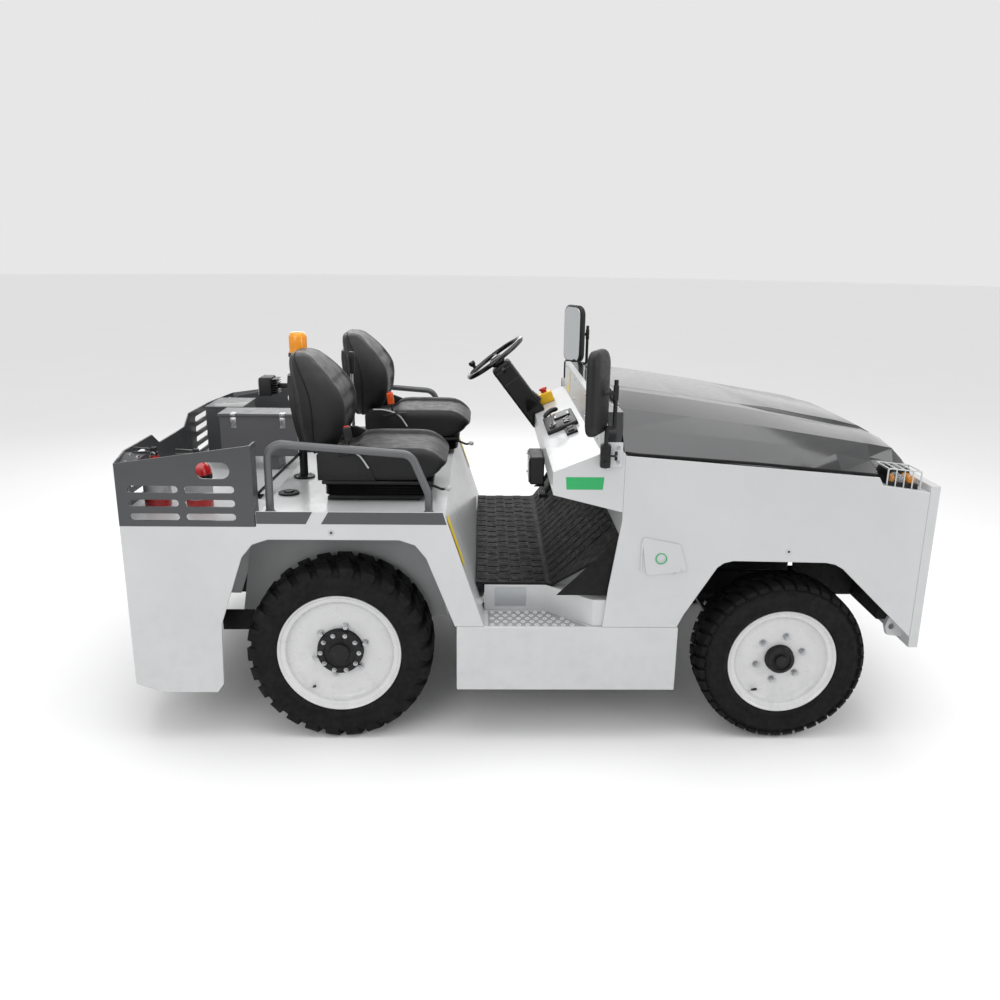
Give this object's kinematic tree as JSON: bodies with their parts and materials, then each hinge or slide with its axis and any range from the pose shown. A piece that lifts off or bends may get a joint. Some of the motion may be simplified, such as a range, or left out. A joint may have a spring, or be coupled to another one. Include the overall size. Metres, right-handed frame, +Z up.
{
  "type": "airport baggage tug",
  "caption": "Electric airport baggage tug with two open seats, slotted rear cage, wedge hood, steered front wheels and rear tow hitch.",
  "frame": {"origin": "on the ground, at the middle of the overall length and width", "axes": "+X to the front, +Y to the left (driver's side), +Z up"},
  "size_m": [3.5503, 2.0904, 1.7725],
  "materials": {
    "white_paint": "semi-gloss sprayed enamel",
    "dark_grey_paint": "semi-gloss sprayed enamel",
    "grey_paint": "semi-gloss sprayed enamel",
    "black_paint": "satin powder coat",
    "black_plastic": "moulded, fine texture",
    "rubber": "ribbed matting",
    "tyre": "matt moulded rubber",
    "vinyl": "grained upholstery vinyl",
    "steel": "bright zinc",
    "amber_plastic": "clear moulded",
    "yellow_plastic": "moulded",
    "lamp_glass": "clear lens",
    "red_paint": "gloss enamel"
  },
  "bodies": {
    "chassis": {"battery_block": "black_paint", "beacon": "amber_plastic", "beacon_pole": "black_paint", "chassis_frame": "black_paint", "cowl_top": "dark_grey_paint", "dashboard": "white_paint", "driver_seat_back": "vinyl", "driver_seat_base": "black_plastic", "driver_seat_cushion": "vinyl", "emergency_stop": "yellow_plastic", "fire_extinguisher_a": "red_paint", "fire_extinguisher_b": "red_paint", "floor_mat": "rubber", "floor_pan": "white_paint", "front_axle": "black_paint", "front_body": "white_paint", "front_bumper": "white_paint", "hand_lever": "black_paint", "left_handrail": "grey_paint", "left_headlight": "lamp_glass", "left_mirror": "black_paint", "left_side_step": "white_paint", "passenger_seat_back": "vinyl", "passenger_seat_base": "black_plastic", "passenger_seat_cushion": "vinyl", "pedals": "black_paint", "rear_axle": "black_paint", "rear_body": "white_paint", "rear_cage": "dark_grey_paint", "rear_locker": "dark_grey_paint", "relay_box": "black_plastic", "right_handrail": "grey_paint", "right_headlight": "lamp_glass", "right_mirror": "black_paint", "right_side_step": "white_paint", "steering_column": "black_plastic", "switch_console": "black_plastic", "toolbox": "grey_paint", "tow_hitch": "black_paint", "work_light": "black_paint"},
    "front_left_wheel": {"front_left_tyre": "tyre", "front_left_rim": "white_paint"},
    "front_right_wheel": {"front_right_tyre": "tyre", "front_right_rim": "white_paint"},
    "rear_left_wheel": {"rear_left_tyre": "tyre", "rear_left_rim": "white_paint"},
    "rear_right_wheel": {"rear_right_tyre": "tyre", "rear_right_rim": "white_paint"},
    "left_steer": {"left_knuckle": "black_paint"},
    "right_steer": {"right_knuckle": "black_paint"},
    "tie_rod": {"tie_rod": "steel"},
    "steering_wheel": {"steering_wheel": "black_plastic"},
    "hood": {"hood": "dark_grey_paint"},
    "toolbox_lid": {"toolbox_lid": "grey_paint"},
    "charge_flap": {"charge_flap": "white_paint"},
    "tow_pin": {"tow_pin": "steel"}
  },
  "joints": [
    {"name": "front_left_spin", "type": "hinge", "parent": "left_steer", "child": "front_left_wheel", "pos_m": [1.206, 0.77, 0.369], "axis": [0, 1, 0], "continuous": true},
    {"name": "front_right_spin", "type": "hinge", "parent": "right_steer", "child": "front_right_wheel", "pos_m": [1.206, -0.77, 0.369], "axis": [0, 1, 0], "continuous": true},
    {"name": "rear_left_spin", "type": "hinge", "parent": "chassis", "child": "rear_left_wheel", "pos_m": [-0.718, 0.76, 0.403], "axis": [0, 1, 0], "continuous": true},
    {"name": "rear_right_spin", "type": "hinge", "parent": "chassis", "child": "rear_right_wheel", "pos_m": [-0.718, -0.76, 0.403], "axis": [0, 1, 0], "continuous": true},
    {"name": "steer_left", "type": "hinge", "parent": "chassis", "child": "left_steer", "pos_m": [1.206, 0.6, 0.369], "axis": [0, 0, 1], "range_deg": [-35, 35]},
    {"name": "steer_right", "type": "hinge", "parent": "chassis", "child": "right_steer", "pos_m": [1.206, -0.6, 0.369], "axis": [0, 0, 1], "range_deg": [-35, 35]},
    {"name": "tie_rod_swing", "type": "hinge", "parent": "left_steer", "child": "tie_rod", "pos_m": [1.046, 0.6, 0.291], "axis": [0, 0, 1], "range_deg": [-35, 35]},
    {"name": "steering_wheel_turn", "type": "hinge", "parent": "chassis", "child": "steering_wheel", "pos_m": [-0.041, 0.46, 1.518], "axis": [-0.6074, 0, 0.7944], "range_deg": [-525, 525]},
    {"name": "hood_hinge", "type": "hinge", "parent": "chassis", "child": "hood", "pos_m": [0.47, 0, 1.472], "axis": [0, -1, 0], "range_deg": [0, 60]},
    {"name": "toolbox_lid_hinge", "type": "hinge", "parent": "chassis", "child": "toolbox_lid", "pos_m": [-1.236, 0.052, 1.262], "axis": [1, 0, 0], "range_deg": [0, 100]},
    {"name": "charge_flap_hinge", "type": "hinge", "parent": "chassis", "child": "charge_flap", "pos_m": [0.555, -0.9053, 0.865], "axis": [0, 0, -1], "range_deg": [0, 110]},
    {"name": "tow_pin_lift", "type": "slide", "parent": "chassis", "child": "tow_pin", "axis": [0, 0, 1], "range_m": [0, 0.13]}
  ],
  "couplings": [
    {"joint": "steer_right", "follows": "steer_left", "ratio": 1},
    {"joint": "tie_rod_swing", "follows": "steer_left", "ratio": -1},
    {"joint": "steering_wheel_turn", "follows": "steer_left", "ratio": 15}
  ]
}
